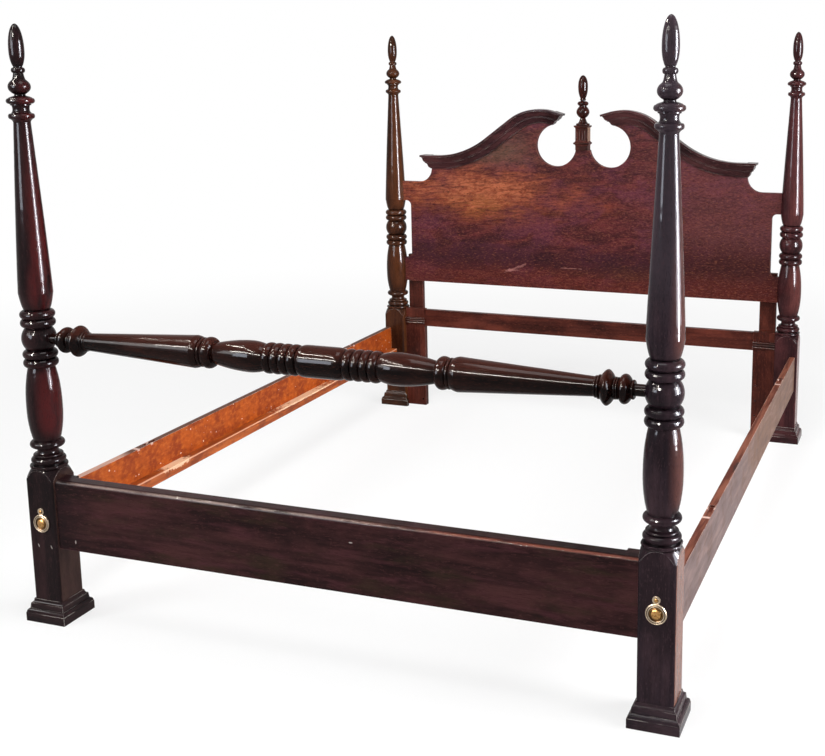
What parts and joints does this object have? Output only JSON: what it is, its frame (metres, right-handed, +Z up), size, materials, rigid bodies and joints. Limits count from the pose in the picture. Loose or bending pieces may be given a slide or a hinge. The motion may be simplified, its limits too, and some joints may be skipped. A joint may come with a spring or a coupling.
{
  "type": "four-poster bed",
  "caption": "Four-poster bed with turned posts, swan-neck pediment headboard, turning blanket rail, low foot rail and side rails with ledger strips.",
  "frame": {"origin": "on the floor under the middle of the bed", "axes": "+X to the right seen from the foot, +Y to the head, +Z up"},
  "size_m": [1.74, 2.246, 1.534],
  "materials": {
    "mahogany_dark": "dark polished mahogany",
    "mahogany_red": "polished figured mahogany",
    "rail_wood": "satin red-brown wood",
    "strip_wood": "bare light wood",
    "brass": "polished with dark recesses",
    "steel": "plain"
  },
  "bodies": {
    "bed_frame": {"post_foot_left": "mahogany_dark", "post_foot_right": "mahogany_dark", "post_head_left": "mahogany_dark", "post_head_right": "mahogany_dark", "plinth_foot_left": "mahogany_dark", "plinth_foot_right": "mahogany_dark", "plinth_head_left": "mahogany_dark", "plinth_head_right": "mahogany_dark", "foot_rail": "mahogany_dark", "side_rail_left": "rail_wood", "side_rail_right": "rail_wood", "ledger_left": "strip_wood", "ledger_right": "strip_wood", "rail_hooks": "steel", "rail_pins": "steel", "rail_keepers": "steel", "headboard_panel": "mahogany_red", "swan_neck_left": "mahogany_dark", "swan_neck_right": "mahogany_dark", "centre_plinth": "mahogany_dark", "head_cross_rail": "mahogany_red", "leg_board_left": "mahogany_red", "leg_board_right": "mahogany_red", "leg_cap_left": "mahogany_dark", "leg_cap_right": "mahogany_dark", "head_stile_left": "mahogany_red", "head_stile_right": "mahogany_red", "cover_screws": "brass"},
    "blanket_rail": {"blanket_rail": "mahogany_dark"},
    "bolt_cover_left": {"bolt_cover_left": "brass"},
    "bolt_cover_right": {"bolt_cover_right": "brass"},
    "centre_finial": {"centre_finial": "mahogany_dark"},
    "finial_foot_left": {"finial_foot_left": "mahogany_dark"},
    "finial_foot_right": {"finial_foot_right": "mahogany_dark"},
    "finial_head_left": {"finial_head_left": "mahogany_dark"},
    "finial_head_right": {"finial_head_right": "mahogany_dark"}
  },
  "joints": [
    {"name": "blanket_rail_turn", "type": "hinge", "parent": "bed_frame", "child": "blanket_rail", "pos_m": [0, -1.063, 0.753], "axis": [1, 0, 0], "continuous": true},
    {"name": "finial_foot_left_lift", "type": "slide", "parent": "bed_frame", "child": "finial_foot_left", "axis": [0, 0, 1], "range_m": [0, 0.05]},
    {"name": "finial_foot_right_lift", "type": "slide", "parent": "bed_frame", "child": "finial_foot_right", "axis": [0, 0, 1], "range_m": [0, 0.05]},
    {"name": "finial_head_left_lift", "type": "slide", "parent": "bed_frame", "child": "finial_head_left", "axis": [0, 0, 1], "range_m": [0, 0.05]},
    {"name": "finial_head_right_lift", "type": "slide", "parent": "bed_frame", "child": "finial_head_right", "axis": [0, 0, 1], "range_m": [0, 0.05]},
    {"name": "centre_finial_lift", "type": "slide", "parent": "bed_frame", "child": "centre_finial", "axis": [0, 0, 1], "range_m": [0, 0.045]},
    {"name": "bolt_cover_left_swing", "type": "hinge", "parent": "bed_frame", "child": "bolt_cover_left", "pos_m": [-0.81, -1.106, 0.3025], "axis": [0, 1, 0], "continuous": true},
    {"name": "bolt_cover_right_swing", "type": "hinge", "parent": "bed_frame", "child": "bolt_cover_right", "pos_m": [0.81, -1.106, 0.3025], "axis": [0, 1, 0], "continuous": true}
  ]
}
